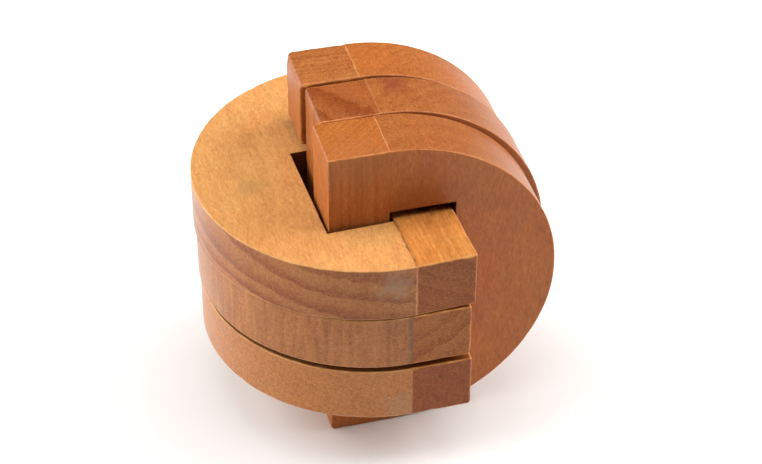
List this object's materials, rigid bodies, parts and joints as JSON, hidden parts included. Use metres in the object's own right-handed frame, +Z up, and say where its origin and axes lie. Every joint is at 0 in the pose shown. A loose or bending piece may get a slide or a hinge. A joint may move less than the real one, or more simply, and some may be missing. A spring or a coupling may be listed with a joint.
{
  "type": "wooden burr puzzle",
  "caption": "Round interlocking wooden puzzle of flat and upright C-shaped plates that cross at the middle; the middle plates slide out first.",
  "frame": {"origin": "under the middle of the bounding box, on the surface the puzzle stands on", "axes": "+X towards the round ends of the upright plates, +Y to the rear, +Z up"},
  "size_m": [0.0582, 0.0574, 0.057],
  "materials": {
    "flat_board_wood": "satin, sanded smooth, warm light orange-brown, grain across the straight side",
    "flat_block_wood": "satin, sanded smooth, warm light orange-brown",
    "upright_board_wood": "satin, sanded smooth, mid orange-brown, grain up the plate, darker end grain on the rim",
    "upright_block_wood": "satin, sanded smooth, mid orange-brown"
  },
  "bodies": {
    "front_upright": {"front_upright_half_round": "upright_board_wood", "front_upright_hook_block": "upright_block_wood", "front_upright_plain_block": "upright_block_wood"},
    "middle_upright": {"middle_upright_half_round": "upright_board_wood", "middle_upright_hook_block": "upright_block_wood", "middle_upright_plain_block": "upright_block_wood"},
    "rear_upright": {"rear_upright_half_round": "upright_board_wood", "rear_upright_hook_block": "upright_block_wood", "rear_upright_plain_block": "upright_block_wood"},
    "top_flat": {"top_flat_half_round": "flat_board_wood", "top_flat_hook_block": "flat_block_wood", "top_flat_plain_block": "flat_block_wood"},
    "middle_flat": {"middle_flat_half_round": "flat_board_wood", "middle_flat_hook_block": "flat_block_wood", "middle_flat_plain_block": "flat_block_wood"},
    "bottom_flat": {"bottom_flat_half_round": "flat_board_wood", "bottom_flat_hook_block": "flat_block_wood", "bottom_flat_plain_block": "flat_block_wood"}
  },
  "joints": [
    {"name": "middle_upright_slide", "type": "slide", "parent": "front_upright", "child": "middle_upright", "axis": [1, 0, 0], "range_m": [-0.0015, 0.04]},
    {"name": "middle_flat_slide", "type": "slide", "parent": "front_upright", "child": "middle_flat", "axis": [-1, 0, 0], "range_m": [-0.0004, 0.04]},
    {"name": "rear_upright_play", "type": "slide", "parent": "front_upright", "child": "rear_upright", "axis": [0, 1, 0], "range_m": [0, 0.0012]},
    {"name": "top_flat_lift", "type": "slide", "parent": "front_upright", "child": "top_flat", "axis": [0, 0, 1], "range_m": [0, 0.0014]},
    {"name": "bottom_flat_lift", "type": "slide", "parent": "front_upright", "child": "bottom_flat", "axis": [0, 0, 1], "range_m": [0, 0.0009]}
  ]
}
